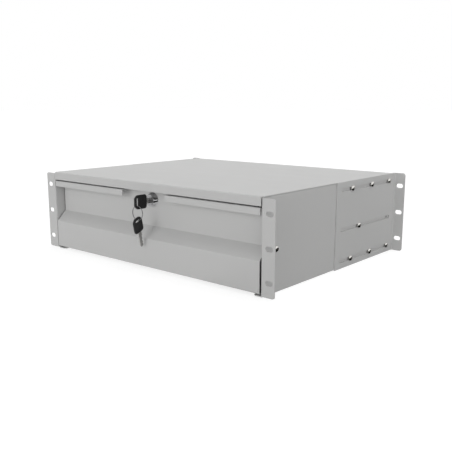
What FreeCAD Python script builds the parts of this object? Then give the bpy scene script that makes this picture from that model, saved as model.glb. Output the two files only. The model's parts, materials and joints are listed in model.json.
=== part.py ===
import FreeCAD, Part
import math
import os

# Rack standard
RACK_UNIT = 44.45
UNITS = 3
RACK_CLEARANCE = 1.95
PANEL_WIDTH = 482.6
SLOT_EDGE = 8.75
SLOT_LENGTH = 12.0
SLOT_WIDTH = 7.2

# Case side panels
CASE_SHEET = 1.5
CASE_BEND = 0.8
CASE_DEPTH = 355.0
EAR_REACH = 20.3
EAR_INSET = 1.9
EAR_CORNER = 3.5
EAR_WEB = 20.0
BASE_FLANGE = 16.0
TOP_FLANGE = 14.0
FLANGE_SETBACK = 1.5
FLANGE_CHAMFER = 3.0

# Top cover and rear panel
COVER_SHEET = 1.2
COVER_BEND = 0.8
COVER_FLANGE = 12.65
COVER_SIDE_GAP = 0.8
COVER_RELIEF = 1.5
REAR_FLANGE = 9.0
REAR_FLANGE_GAP = 2.0

# Rear brackets
BRACKET_SHEET = 2.0
BRACKET_BEND = 3.0
BRACKET_LENGTH = 184.6
BRACKET_REACH = 6.6
BRACKET_GAP = 0.05
BRACKET_CORNER = 4.0
BRACKET_SLOT_WIDTH = 5.4
BRACKET_SLOT_LENGTH = 158.0
BRACKET_SLOT_SETBACK = 14.1
OUTER_SLOT_MARGIN = 11.7
BRACKET_SCREW_DEPTHS = (134.0, 73.0, 14.0)
MIDDLE_SCREW_DEPTH = 110.5
SPARE_HOLE_DEPTH = 13.5
SPARE_HOLE_RADIUS = 2.2

# Screws and nuts
SCREW_RADIUS = 2.0
SCREW_HEAD_RADIUS = 4.3
SCREW_HEAD_HEIGHT = 2.8
SCREW_HEAD_EDGE = 0.8
SCREW_POINT = 1.0
HOLE_GAP = 0.15
NUT_ACROSS_FLATS = 7.0
NUT_HEIGHT = 3.0
HEXAGON_SIDES = 6
SHANK_SIDES = 8
HEAD_SIDES = 12

# Ball slides
SLIDE_THICKNESS = 12.7
SLIDE_HEIGHT = 45.7
SLIDE_FRONT_GAP = 1.0
SLIDE_REAR_GAP = 30.5
SLIDE_ABOVE_BASE = 59.7
SLIDE_SHEET = 1.2
SLIDE_BEND = 0.6
OUTER_FLANGE = 8.8
OUTER_LIP = 2.4
MIDDLE_WEB = 2.4
MIDDLE_FLANGE = 7.2
INNER_FLANGE = 7.6
SLIDE_SCREW_END = 10.5
INNER_SCREW_END = 25.0
INNER_SCREWS = 3
INNER_SCREW_HEAD_RADIUS = 3.4
INNER_SCREW_HEAD_HEIGHT = 1.6

# Balls and their cages
BALL_RADIUS = 2.0
BALL_GAP = 0.05
BALL_SIDES = 8
BALL_LATITUDES = (-75, -30, 30, 75)
POCKET_GAP = 0.2
BALLS_PER_ROW = 4
BALL_PITCH = 42.0
OUTER_BALL_OFFSET = 4.6
INNER_BALL_OFFSET = 7.2
CAGE_SHEET = 0.5
CAGE_BEND = 0.3
CAGE_END_GAP = 3.75
OUTER_CAGE_WEB = 1.55
OUTER_CAGE_FLANGE = 5.6
INNER_CAGE_WEB = 4.1
INNER_CAGE_FLANGE = 6.6

# Drawer front
FRONT_SHEET = 1.5
FRONT_BEND = 0.6
FRONT_SIDE_GAP = 2.3
LIP_GAP = 1.9
LIP_HEIGHT = 9.4
RECESS_DEPTH = 17.0
RECESS_HEIGHT = 52.1
SLOPE_HEIGHT = 16.7
FRONT_BASE_GAP = 4.1
FRONT_BASE_FLANGE = 33.0
NOTCH_HALF_WIDTH = 46.0

# Tray
TRAY_SHEET = 1.2
TRAY_BEND = 0.8
TRAY_REAR_GAP = 14.5
TRAY_DROP = 12.25
TRAY_HEM = 7.0
HEM_GAP = 0.2
BACK_SIDE_GAP = 0.4
BACK_FOOT = 14.0
BACK_HEM_SETBACK = 4.0
ANGLE_LEG = 12.0
ANGLE_END_GAP = 4.0
RIVET_RADIUS = 1.6
RIVET_HEAD_RADIUS = 3.2
RIVET_HEAD_HEIGHT = 1.0
RIVET_FLUSH_RADIUS = 2.8
RIVETS = 4
RIVET_SIDE_MARGIN = 41.8
RIVET_SETBACK = 7.5

# Lock
LOCK_X = 4.4
LOCK_DROP = 12.95
BEZEL_RADIUS = 11.4
BEZEL_FACE_RADIUS = 9.0
BEZEL_HEIGHT = 7.5
BARREL_RADIUS = 9.5
BARREL_LENGTH = 15.5
BARREL_FLATS = 16.4
LOCK_HOLE_GAP = 0.1
LOCK_NUT_ACROSS_FLATS = 22.0
LOCK_NUT_HEIGHT = 3.0
PLUG_RADIUS = 6.5
PLUG_GAP = 0.05
PLUG_RECESS = 0.5
SPIGOT = 7.0
SPIGOT_GAP = 0.05
CAM_GAP = 0.3
CAM_SHEET = 2.0
CAM_WIDTH = 15.0
CAM_REACH = 21.0
CAM_TIP_WIDTH = 11.0
CAM_SCREW_RADIUS = 2.0
CAM_SCREW_HEAD_RADIUS = 5.0
CAM_SCREW_HEAD_HEIGHT = 2.2
CAM_SCREW_LENGTH = 6.5
CATCH_SHEET = 1.5
CATCH_BEND = 0.8
CATCH_WIDTH = 40.0
CATCH_FOOT = 20.0
CATCH_CLEARANCE = 0.6
CATCH_OVERLAP = 6.7

# Keys and ring
KEY_OUT = 19.6
KEY_HEAD_LENGTH = 22.6
KEY_HEAD_WIDTH = 20.8
KEY_HEAD_THICKNESS = 3.2
KEY_HEAD_CHAMFER = 4.5
KEY_SHOULDER = 2.5
KEY_HEAD_CORNER = 1.5
KEY_SLOT_LENGTH = 13.4
KEY_SLOT_WIDTH = 4.2
KEY_SLOT_PLACE = 5.2
KEY_BLADE_LENGTH = 24.0
KEY_BLADE_WIDTH = 8.0
KEY_BLADE_THICKNESS = 2.0
KEY_BLADE_ROOT = 8.0
KEY_TIP = 2.5
KEY_CUT_PITCH = 3.6
KEY_CUT_START = 5.5
KEY_CUTS = (1.0, 1.6, 0.7, 1.3)
KEYWAY_GAP = 0.2
KEYWAY_END_GAP = 0.5
RING_RADIUS = 10.6
RING_WIRE = 0.9
RING_GAP = 0.45
SPARE_SHIFT = 1.5
SPARE_TURN = 15.0
SPARE_TILT = 15.0

# Derived planes of the case
CASE_HEIGHT = UNITS * RACK_UNIT - RACK_CLEARANCE
TOP = CASE_HEIGHT / 2
BASE = -CASE_HEIGHT / 2
FACE = -CASE_SHEET
REAR = FACE + CASE_DEPTH
EAR_TIP = PANEL_WIDTH / 2
SIDE_OUTER = EAR_TIP - EAR_REACH
SIDE_INNER = SIDE_OUTER - CASE_SHEET
UNDER_COVER = TOP - COVER_SHEET
EAR_TOP = TOP - EAR_INSET
SLOT_COLUMN = EAR_TIP - SLOT_EDGE
SCREW_HOLE = SCREW_RADIUS + HOLE_GAP
BRACKET_SEAT = REAR + BRACKET_REACH
BRACKET_START = BRACKET_SEAT - BRACKET_LENGTH
BRACKET_SLOT_CENTRE = BRACKET_SEAT - BRACKET_SLOT_SETBACK - BRACKET_SLOT_LENGTH / 2
OUTER_SLOT_OFFSET = TOP - OUTER_SLOT_MARGIN
BRACKET_SCREW_PLACES = [REAR - depth for depth in BRACKET_SCREW_DEPTHS]
MIDDLE_SCREW_PLACE = REAR - MIDDLE_SCREW_DEPTH
SPARE_HOLE_PLACE = REAR - SPARE_HOLE_DEPTH

# Derived planes of the drawer
LIP_TOP = TOP - COVER_FLANGE - LIP_GAP
WALL_FRONT = FACE + RECESS_DEPTH
WALL_REAR = WALL_FRONT + FRONT_SHEET
FRONT_BASE = BASE + FRONT_BASE_GAP
TRAY_OUTER = SIDE_INNER - SLIDE_THICKNESS
TRAY_BASE = FRONT_BASE + FRONT_SHEET
TRAY_TOP = LIP_TOP - TRAY_DROP
TRAY_FRONT = WALL_REAR
TRAY_REAR = REAR - TRAY_REAR_GAP
WALL_FOLD = LIP_TOP - RECESS_HEIGHT
CREST = WALL_FOLD - SLOPE_HEIGHT
FRONT_HALF_WIDTH = SIDE_INNER - FRONT_SIDE_GAP
RIVET_SPAN = TRAY_OUTER - RIVET_SIDE_MARGIN
RIVET_PLACE = TRAY_FRONT + RIVET_SETBACK
LOCK_Z = LIP_TOP - LOCK_DROP
BEZEL_FACE = WALL_FRONT - BEZEL_HEIGHT
BARREL_REAR = WALL_FRONT + BARREL_LENGTH
CAM_FRONT = BARREL_REAR + CAM_GAP

# Derived places of the slides along the case
SLIDE_CENTRE = BASE + SLIDE_ABOVE_BASE
SLIDE_START = WALL_REAR + SLIDE_FRONT_GAP
SLIDE_LENGTH = REAR - SLIDE_REAR_GAP - SLIDE_START
FRONT_SCREW_PLACE = SLIDE_START + SLIDE_SCREW_END
CAGE_START = SLIDE_LENGTH / 4 + CAGE_END_GAP
CAGE_LENGTH = SLIDE_LENGTH / 2 - CAGE_END_GAP

# Derived places in the slides' section, from the side panel and the slide's centre
OUTER_RACE = SLIDE_HEIGHT / 2 - SLIDE_SHEET
OUTER_BALL_HEIGHT = OUTER_RACE - BALL_GAP - BALL_RADIUS
MIDDLE_HALF = OUTER_BALL_HEIGHT - BALL_RADIUS - BALL_GAP
INNER_BALL_HEIGHT = MIDDLE_HALF - SLIDE_SHEET - BALL_GAP - BALL_RADIUS
INNER_HALF = INNER_BALL_HEIGHT - BALL_RADIUS - BALL_GAP

X_AXIS = FreeCAD.Vector(1, 0, 0)
Y_AXIS = FreeCAD.Vector(0, 1, 0)
Z_AXIS = FreeCAD.Vector(0, 0, 1)
MIDDLE_PLANE = FreeCAD.Vector(0, 0, 0)
EXTRUSION = {"plan": Z_AXIS, "section": Y_AXIS, "profile": X_AXIS}
CUT_MARGIN = 5.0
EDGE_NEARNESS = 0.5
SAME_POINT = 1e-6


def in_plane(plane, a, b, level):
    """Point of a plan (x, y), a section (x, z) or a profile (y, z) at a level along the third axis."""
    if plane == "plan":
        return FreeCAD.Vector(a, b, level)
    if plane == "section":
        return FreeCAD.Vector(a, level, b)
    return FreeCAD.Vector(level, a, b)


def direction(start, end):
    """Unit vector from one 2-D point to another."""
    length = math.hypot(end[0] - start[0], end[1] - start[1])
    return (end[0] - start[0]) / length, (end[1] - start[1]) / length


def turn_angle(first, second):
    """Signed angle from one direction to the next, positive to the left."""
    cross = first[0] * second[1] - first[1] * second[0]
    dot = first[0] * second[0] + first[1] * second[1]
    return math.atan2(cross, dot)


def offset_path(path, distance):
    """The same corners moved to the left by the distance, with mitred corners."""
    ways = [direction(a, b) for a, b in zip(path, path[1:])]
    moved = [(path[0][0] - ways[0][1] * distance, path[0][1] + ways[0][0] * distance)]
    for corner, before, after in zip(path[1:], ways, ways[1:]):
        shift = distance * math.tan(turn_angle(before, after) / 2)
        moved.append((corner[0] - before[1] * distance - before[0] * shift,
                      corner[1] + before[0] * distance - before[1] * shift))
    moved.append((path[-1][0] - ways[-1][1] * distance, path[-1][1] + ways[-1][0] * distance))
    return moved


def rounded_run(path, radii):
    """Lines and tangent arcs along a path, as lists of 2-D points of two or three."""
    pieces = []
    start = path[0]
    for before, corner, after, radius in zip(path, path[1:], path[2:], radii):
        arriving = direction(before, corner)
        leaving = direction(corner, after)
        turn = turn_angle(arriving, leaving)
        reach = radius * math.tan(abs(turn) / 2)
        first = (corner[0] - arriving[0] * reach, corner[1] - arriving[1] * reach)
        last = (corner[0] + leaving[0] * reach, corner[1] + leaving[1] * reach)
        bisector = direction((arriving[0], arriving[1]), (leaving[0], leaving[1]))
        depth = radius / math.cos(turn / 2) - radius
        middle = (corner[0] + bisector[0] * depth, corner[1] + bisector[1] * depth)
        if math.dist(start, first) > SAME_POINT:
            pieces.append([start, first])
        pieces.append([first, middle, last])
        start = last
    pieces.append([start, path[-1]])
    return pieces


def edge(plane, points, level):
    """Line through two points or arc through three."""
    corners = [in_plane(plane, a, b, level) for a, b in points]
    if len(corners) == 2:
        return Part.LineSegment(*corners).toShape()
    return Part.Arc(*corners).toShape()


def folded_sheet(plane, path, thickness, bend, start, end):
    """Sheet whose one face follows the path and whose thickness lies to the path's left."""
    turns = [turn_angle(direction(a, b), direction(b, c)) for a, b, c in zip(path, path[1:], path[2:])]
    near = [bend + thickness if turn > 0 else bend for turn in turns]
    far = [bend if turn > 0 else bend + thickness for turn in turns]
    other = offset_path(path, thickness)
    outline = rounded_run(path, near)
    outline.append([path[-1], other[-1]])
    outline += [piece[::-1] for piece in rounded_run(other, far)[::-1]]
    outline.append([other[0], path[0]])
    face = Part.Face(Part.Wire([edge(plane, piece, start) for piece in outline]))
    return face.extrude(EXTRUSION[plane] * (end - start))


def plate(plane, outline, start, end):
    """Flat plate with straight edges."""
    corners = [in_plane(plane, a, b, start) for a, b in outline]
    return Part.Face(Part.makePolygon(corners + corners[:1])).extrude(EXTRUSION[plane] * (end - start))


def block(x_range, y_range, z_range):
    """Box between limits on the three axes."""
    corner = FreeCAD.Vector(x_range[0], y_range[0], z_range[0])
    return Part.makeBox(x_range[1] - x_range[0], y_range[1] - y_range[0], z_range[1] - z_range[0], corner)


def hole(plane, a, b, radius, start, end):
    """Round bar along the plane's third axis, for a hole or a shank."""
    return Part.makeCylinder(radius, end - start, in_plane(plane, a, b, start), EXTRUSION[plane])


def screw_hole(plane, a, b, radius, start, end):
    """Small hole with straight facets, for a screw whose head covers it."""
    return plate(plane, polygon(a, b, radius, HEAD_SIDES), start, end)


def slot(plane, a, b, length, width, start, end):
    """Round-ended bar, long in the plane's first direction, for a slot."""
    reach = (length - width) / 2
    ends = [hole(plane, a + side * reach, b, width / 2, start, end) for side in (-1, 1)]
    middle = plate(plane, [(a - reach, b - width / 2), (a + reach, b - width / 2),
                           (a + reach, b + width / 2), (a - reach, b + width / 2)], start, end)
    return middle.fuse(ends)


def turned(outline, centre_a, centre_b, plane):
    """Solid of revolution about the plane's third axis, from points of radius and level."""
    points = [in_plane(plane, centre_a + radius, centre_b, level) for radius, level in outline]
    centre = in_plane(plane, centre_a, centre_b, outline[0][1])
    return Part.Face(Part.makePolygon(points + points[:1])).revolve(centre, EXTRUSION[plane], 360)


def polygon(a, b, radius, sides):
    """Corners of a regular polygon that stands on a circle."""
    turns = [2 * math.pi * step / sides for step in range(sides)]
    return [(a + radius * math.cos(turn), b + radius * math.sin(turn)) for turn in turns]


def hexagonal_bar(plane, a, b, across_flats, start, end):
    """Hexagonal bar between two levels."""
    radius = across_flats / 2 / math.cos(math.pi / HEXAGON_SIDES)
    return plate(plane, polygon(a, b, radius, HEXAGON_SIDES), start, end)


def pin(plane, a, b, steps):
    """Small fastener from steps of radius, sides, start and end."""
    bars = [plate(plane, polygon(a, b, radius, sides), start, end) for radius, sides, start, end in steps]
    return joined(bars)


def joined(shapes):
    """One solid from shapes that overlap or share faces."""
    return shapes[0].fuse(shapes[1:]).removeSplitter()


def round_upright_edges(shape, radius, picked):
    """Fillet of the edges along the depth whose centres are picked."""
    edges = [e for e in shape.Edges
             if abs(e.tangentAt(e.FirstParameter).y) > 0.999 and picked(e.CenterOfMass)]
    return shape.makeFillet(radius, edges)


def both_sides(name, left):
    """Left piece and its mirror image on the right, as two named nodes."""
    return {"left_" + name: left, "right_" + name: left.mirror(MIDDLE_PLANE, X_AXIS)}


def with_mirror(solids):
    """Group of solids and their mirror images."""
    return Part.makeCompound(solids + [solid.mirror(MIDDLE_PLANE, X_AXIS) for solid in solids])


def rack_slots(x, y_range):
    """The rack slots of one ear, one to each rack unit."""
    first = -(UNITS - 1) / 2
    return [slot("section", x, (first + unit) * RACK_UNIT, SLOT_LENGTH, SLOT_WIDTH, *y_range)
            for unit in range(UNITS)]


def left_side_panel():
    """Side panel with its front ear and its flanges along the base and the top."""
    ear = folded_sheet("plan", [(-EAR_TIP, FACE), (-SIDE_INNER, FACE), (-SIDE_INNER, EAR_WEB)],
                       CASE_SHEET, CASE_BEND, -EAR_TOP, EAR_TOP)
    ear = round_upright_edges(ear, EAR_CORNER, lambda centre: centre.x < -EAR_TIP + EDGE_NEARNESS)
    wall = folded_sheet("section", [(-SIDE_OUTER + TOP_FLANGE, UNDER_COVER), (-SIDE_OUTER, UNDER_COVER),
                                    (-SIDE_OUTER, BASE), (-SIDE_OUTER + BASE_FLANGE, BASE)],
                        CASE_SHEET, CASE_BEND, FLANGE_SETBACK, REAR)
    panel = joined([ear, wall])
    cuts = rack_slots(-SLOT_COLUMN, (FACE - CUT_MARGIN, CUT_MARGIN))
    inner_end = -SIDE_OUTER + BASE_FLANGE
    cuts.append(plate("plan", [(inner_end, FLANGE_SETBACK), (inner_end, FLANGE_SETBACK + FLANGE_CHAMFER),
                               (inner_end - FLANGE_CHAMFER, FLANGE_SETBACK)], BASE, BASE + CASE_SHEET))
    across = (-SIDE_OUTER - CUT_MARGIN, -SIDE_INNER + CASE_SHEET)
    for place in BRACKET_SCREW_PLACES:
        cuts += [screw_hole("profile", place, side * OUTER_SLOT_OFFSET, SCREW_HOLE, *across)
                 for side in (-1, 1)]
    for place in (FRONT_SCREW_PLACE, MIDDLE_SCREW_PLACE):
        cuts.append(screw_hole("profile", place, SLIDE_CENTRE, SCREW_HOLE, *across))
    cuts.append(hole("profile", SPARE_HOLE_PLACE, SLIDE_CENTRE, SPARE_HOLE_RADIUS, *across))
    return panel.cut(cuts)


def top_cover():
    """Cover with the flange that hangs over the top of the drawer front."""
    path = [(REAR, TOP), (FACE, TOP), (FACE, TOP - COVER_FLANGE)]
    cover = folded_sheet("profile", path, COVER_SHEET, COVER_BEND, -SIDE_OUTER, SIDE_OUTER)
    flange_end = SIDE_INNER - COVER_SIDE_GAP
    depth = (FACE - CUT_MARGIN, COVER_RELIEF)
    height = (TOP - COVER_FLANGE - CUT_MARGIN, TOP + CUT_MARGIN)
    corners = [block(across, depth, height) for across in
               ((-SIDE_OUTER - CUT_MARGIN, -flange_end), (flange_end, SIDE_OUTER + CUT_MARGIN))]
    return cover.cut(corners)


def rear_panel():
    """Rear sheet, folded forward on all four sides and welded to the sides and the cover."""
    low = BASE + CASE_SHEET
    front = REAR - REAR_FLANGE
    side_path = [(SIDE_INNER, front), (SIDE_INNER, REAR), (-SIDE_INNER, REAR), (-SIDE_INNER, front)]
    sides = folded_sheet("plan", side_path, COVER_SHEET, COVER_BEND, low + CASE_BEND,
                         UNDER_COVER - CASE_SHEET - CASE_BEND)
    end_path = [(front, low), (REAR, low), (REAR, UNDER_COVER), (front, UNDER_COVER)]
    end = SIDE_OUTER - max(BASE_FLANGE, TOP_FLANGE) - REAR_FLANGE_GAP
    return joined([sides, folded_sheet("profile", end_path, COVER_SHEET, COVER_BEND, -end, end)])


def lock_catch():
    """Folded strip under the cover that the lock's cam turns up behind."""
    leg_rear = CAM_FRONT - CATCH_CLEARANCE
    leg_front = leg_rear - CATCH_SHEET
    leg_base = LOCK_Z + CAM_REACH - CATCH_OVERLAP
    path = [(leg_front + CATCH_FOOT, UNDER_COVER), (leg_front, UNDER_COVER), (leg_front, leg_base)]
    return folded_sheet("profile", path, CATCH_SHEET, CATCH_BEND,
                        LOCK_X - CATCH_WIDTH / 2, LOCK_X + CATCH_WIDTH / 2)


def left_rear_bracket():
    """Support bracket that slides along the case on its long slots."""
    inner = -SIDE_OUTER - BRACKET_GAP
    rear = BRACKET_SEAT + BRACKET_SHEET
    bracket = folded_sheet("plan", [(inner, BRACKET_START), (inner, rear), (-EAR_TIP, rear)],
                           BRACKET_SHEET, BRACKET_BEND, BASE, TOP)
    bracket = round_upright_edges(bracket, BRACKET_CORNER,
                                  lambda centre: centre.x < -EAR_TIP + EDGE_NEARNESS)
    cuts = rack_slots(-SLOT_COLUMN, (BRACKET_SEAT - CUT_MARGIN, rear + CUT_MARGIN))
    across = (inner - BRACKET_SHEET - CUT_MARGIN, inner + CUT_MARGIN)
    cuts += [slot("profile", BRACKET_SLOT_CENTRE, height, BRACKET_SLOT_LENGTH, BRACKET_SLOT_WIDTH, *across)
             for height in (-OUTER_SLOT_OFFSET, SLIDE_CENTRE, OUTER_SLOT_OFFSET)]
    return bracket.cut(cuts)


def side_screw(place, height, seat, shank_end):
    """Pan-head screw on the left side, its head outside the seat plane."""
    crown = seat - SCREW_HEAD_HEIGHT
    rim = crown + SCREW_HEAD_EDGE
    crown_radius = SCREW_HEAD_RADIUS - SCREW_HEAD_EDGE
    return pin("profile", place, height, [(crown_radius, HEAD_SIDES, crown, rim),
                                          (SCREW_HEAD_RADIUS, HEAD_SIDES, rim, seat),
                                          (SCREW_RADIUS, SHANK_SIDES, seat, shank_end)])


def bracket_screws():
    """Screws that clamp the rear brackets; the middle one also holds the slide."""
    seat = -SIDE_OUTER - BRACKET_GAP - BRACKET_SHEET
    nut_end = -SIDE_INNER + NUT_HEIGHT + SCREW_POINT
    solids = [side_screw(place, side * OUTER_SLOT_OFFSET, seat, nut_end)
              for place in BRACKET_SCREW_PLACES for side in (-1, 1)]
    solids.append(side_screw(MIDDLE_SCREW_PLACE, SLIDE_CENTRE, seat, -SIDE_INNER + SLIDE_SHEET))
    return with_mirror(solids)


def slide_screws():
    """Front screws of the slides, through the side panels."""
    shank_end = -SIDE_INNER + SLIDE_SHEET
    return with_mirror([side_screw(FRONT_SCREW_PLACE, SLIDE_CENTRE, -SIDE_OUTER, shank_end)])


def clinch_nuts():
    """Nuts pressed on the inside of the side panels for the bracket screws."""
    width = (-SIDE_INNER, -SIDE_INNER + NUT_HEIGHT)
    nuts = []
    for place in BRACKET_SCREW_PLACES:
        for height in (-OUTER_SLOT_OFFSET, OUTER_SLOT_OFFSET):
            body = hexagonal_bar("profile", place, height, NUT_ACROSS_FLATS, *width)
            nuts.append(body.cut(plate("profile", polygon(place, height, SCREW_HOLE, SHANK_SIDES), *width)))
    return with_mirror(nuts)


def slide_path(points):
    """Section of a left slide from offsets off the side panel and off the slide's centre."""
    return [(-SIDE_INNER + offset, SLIDE_CENTRE + height) for offset, height in points]


def slide_member(points, sheet=SLIDE_SHEET, bend=SLIDE_BEND, start=SLIDE_START, length=SLIDE_LENGTH):
    """Rolled member of the left slide."""
    return folded_sheet("section", slide_path(points), sheet, bend, start, start + length)


def left_slide_outer():
    """Member on the case, with lips that guard the ball race."""
    half = SLIDE_HEIGHT / 2
    member = slide_member([(OUTER_FLANGE, half - OUTER_LIP), (OUTER_FLANGE, half), (0, half), (0, -half),
                           (OUTER_FLANGE, -half), (OUTER_FLANGE, OUTER_LIP - half)])
    web = (-SIDE_INNER - CUT_MARGIN, -SIDE_INNER + SLIDE_SHEET + SLIDE_BEND)
    return member.cut([screw_hole("profile", place, SLIDE_CENTRE, SCREW_HOLE, *web)
                       for place in (FRONT_SCREW_PLACE, MIDDLE_SCREW_PLACE)])


def left_slide_middle():
    """Intermediate member, running on balls inside and outside its flanges."""
    tip = MIDDLE_WEB + MIDDLE_FLANGE
    return slide_member([(tip, MIDDLE_HALF), (MIDDLE_WEB, MIDDLE_HALF), (MIDDLE_WEB, -MIDDLE_HALF),
                         (tip, -MIDDLE_HALF)])


def inner_screw_places():
    """Places of the screws along the inner member."""
    first = SLIDE_START + INNER_SCREW_END
    pitch = (SLIDE_LENGTH - 2 * INNER_SCREW_END) / (INNER_SCREWS - 1)
    return [first + pitch * step for step in range(INNER_SCREWS)]


def left_slide_inner():
    """Member on the tray."""
    tip = SLIDE_THICKNESS - INNER_FLANGE
    member = slide_member([(tip, -INNER_HALF), (SLIDE_THICKNESS, -INNER_HALF),
                           (SLIDE_THICKNESS, INNER_HALF), (tip, INNER_HALF)])
    web = (-TRAY_OUTER - SLIDE_SHEET - SLIDE_BEND, -TRAY_OUTER + CUT_MARGIN)
    return member.cut([screw_hole("profile", place, SLIDE_CENTRE, SCREW_HOLE, *web)
                       for place in inner_screw_places()])


def inner_slide_screws():
    """Low screws that hold the inner members on the tray."""
    seat = -TRAY_OUTER - SLIDE_SHEET
    low = seat - INNER_SCREW_HEAD_HEIGHT
    end = -TRAY_OUTER + TRAY_SHEET
    steps = [(INNER_SCREW_HEAD_RADIUS, HEAD_SIDES, low, seat), (SCREW_RADIUS, SHANK_SIDES, seat, end)]
    return with_mirror([pin("profile", place, SLIDE_CENTRE, steps) for place in inner_screw_places()])


def ball_places():
    """Places of the balls along a cage."""
    centre = SLIDE_START + CAGE_START + CAGE_LENGTH / 2
    first = centre - BALL_PITCH * (BALLS_PER_ROW - 1) / 2
    return [first + BALL_PITCH * step for step in range(BALLS_PER_ROW)]


def left_cage(web, flange, ball_offset, ball_height):
    """Ball cage: a thin channel with a hole for each ball."""
    tip = web + flange
    half = ball_height + CAGE_SHEET / 2
    cage = slide_member([(tip, half), (web, half), (web, -half), (tip, -half)], CAGE_SHEET, CAGE_BEND,
                        SLIDE_START + CAGE_START, CAGE_LENGTH)
    height = (SLIDE_CENTRE - half - CUT_MARGIN, SLIDE_CENTRE + half + CUT_MARGIN)
    pocket = BALL_RADIUS + POCKET_GAP
    return cage.cut([plate("plan", polygon(-SIDE_INNER + ball_offset, place, pocket, BALL_SIDES), *height)
                     for place in ball_places()])


def ruled_stack(x, y, sides, rings):
    """Solid with flat facets through upright rings of radius and height."""
    wires = []
    for radius, height in rings:
        corners = [in_plane("plan", a, b, height) for a, b in polygon(x, y, radius, sides)]
        wires.append(Part.makePolygon(corners + corners[:1]))
    return Part.makeLoft(wires, True, True)


def ball(x, y, z):
    """Ball with flat facets, through rings at a few latitudes."""
    angles = [math.radians(latitude) for latitude in BALL_LATITUDES]
    return ruled_stack(x, y, BALL_SIDES, [(BALL_RADIUS * math.cos(angle), z + BALL_RADIUS * math.sin(angle))
                                          for angle in angles])


def left_balls(ball_offset, ball_height):
    """Balls of one cage, in an upper and a lower row."""
    return Part.makeCompound([ball(-SIDE_INNER + ball_offset, place, SLIDE_CENTRE + side * ball_height)
                              for place in ball_places() for side in (-1, 1)])


def rounded_plate(plane, outline, radii, start, end):
    """Plate with an arc at each corner of its outline."""
    seam = ((outline[-1][0] + outline[0][0]) / 2, (outline[-1][1] + outline[0][1]) / 2)
    pieces = rounded_run([seam] + outline + [seam], radii)
    face = Part.Face(Part.Wire([edge(plane, piece, start) for piece in pieces]))
    return face.extrude(EXTRUSION[plane] * (end - start))


def flatted_bar(radius, flats, y_range):
    """Round bar along the lock's axis with two flats, above and below."""
    bar = hole("section", LOCK_X, LOCK_Z, radius, *y_range)
    return bar.common(block((LOCK_X - radius, LOCK_X + radius), y_range,
                            (LOCK_Z - flats / 2, LOCK_Z + flats / 2)))


def rivet_places():
    """Places across the drawer of the rivets in its base."""
    pitch = 2 * RIVET_SPAN / (RIVETS - 1)
    return [step * pitch - RIVET_SPAN for step in range(RIVETS)]


def countersink(place, gap):
    """Tapered end of a rivet in the tray's floor, or its hole with a gap round it."""
    return ruled_stack(place, RIVET_PLACE, HEAD_SIDES, [(RIVET_RADIUS + gap, TRAY_BASE),
                                                        (RIVET_FLUSH_RADIUS + gap, TRAY_BASE + TRAY_SHEET)])


def drawer_front():
    """One sheet: lip, ledge, recess wall, slope, lower panel and base flange."""
    lip_inner = FACE + FRONT_SHEET
    ledge_base = LIP_TOP - FRONT_SHEET
    path = [(lip_inner, LIP_TOP - LIP_HEIGHT), (lip_inner, ledge_base), (WALL_FRONT, ledge_base),
            (WALL_FRONT, WALL_FOLD), (FACE, CREST), (FACE, FRONT_BASE), (FRONT_BASE_FLANGE, FRONT_BASE)]
    front = folded_sheet("profile", path, FRONT_SHEET, FRONT_BEND, -FRONT_HALF_WIDTH, FRONT_HALF_WIDTH)
    notch = block((-NOTCH_HALF_WIDTH, NOTCH_HALF_WIDTH), (FACE - CUT_MARGIN, WALL_FRONT),
                  (LIP_TOP - LIP_HEIGHT - CUT_MARGIN, LIP_TOP + CUT_MARGIN))
    lock_hole = flatted_bar(BARREL_RADIUS + LOCK_HOLE_GAP, BARREL_FLATS + 2 * LOCK_HOLE_GAP,
                            (WALL_FRONT - CUT_MARGIN, WALL_REAR + CUT_MARGIN))
    base = (FRONT_BASE - CUT_MARGIN, FRONT_BASE + CUT_MARGIN)
    holes = [screw_hole("plan", place, RIVET_PLACE, RIVET_RADIUS + HOLE_GAP, *base)
             for place in rivet_places()]
    return front.cut([notch, lock_hole] + holes)


def hem(plane, outer, way, start, end):
    """Top edge of a tray wall folded back down inside it."""
    inner = outer + way * (2 * TRAY_SHEET + HEM_GAP)
    low = TRAY_TOP - TRAY_HEM
    path = [(inner, low), (inner, TRAY_TOP), (outer, TRAY_TOP), (outer, low)]
    return folded_sheet(plane, path if way > 0 else path[::-1], TRAY_SHEET, HEM_GAP / 2, start, end)


def tray():
    """Folded box with hemmed sides and back, open at the front."""
    wall_top = TRAY_TOP - TRAY_HEM
    body_path = [(-TRAY_OUTER, wall_top), (-TRAY_OUTER, TRAY_BASE),
                 (TRAY_OUTER, TRAY_BASE), (TRAY_OUTER, wall_top)]
    body = folded_sheet("section", body_path, TRAY_SHEET, TRAY_BEND, TRAY_FRONT, TRAY_REAR)
    back_path = [(TRAY_REAR - BACK_FOOT, TRAY_BASE), (TRAY_REAR, TRAY_BASE), (TRAY_REAR, wall_top)]
    back_end = TRAY_OUTER - TRAY_SHEET - BACK_SIDE_GAP
    back = folded_sheet("profile", back_path, TRAY_SHEET, TRAY_BEND, -back_end, back_end)
    hem_end = TRAY_REAR - BACK_HEM_SETBACK
    side_hem = hem("section", -TRAY_OUTER, 1, TRAY_FRONT, hem_end)
    back_hem = hem("profile", TRAY_REAR, -1, -back_end, back_end)
    box = joined([body, back, side_hem, side_hem.mirror(MIDDLE_PLANE, X_AXIS), back_hem])
    across = (-TRAY_OUTER - CUT_MARGIN, -TRAY_OUTER + CUT_MARGIN)
    holes = [screw_hole("profile", place, SLIDE_CENTRE, SCREW_HOLE, *across)
             for place in inner_screw_places()]
    holes += [bar.mirror(MIDDLE_PLANE, X_AXIS) for bar in holes]
    return box.cut(holes + [countersink(place, HOLE_GAP) for place in rivet_places()])


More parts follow.
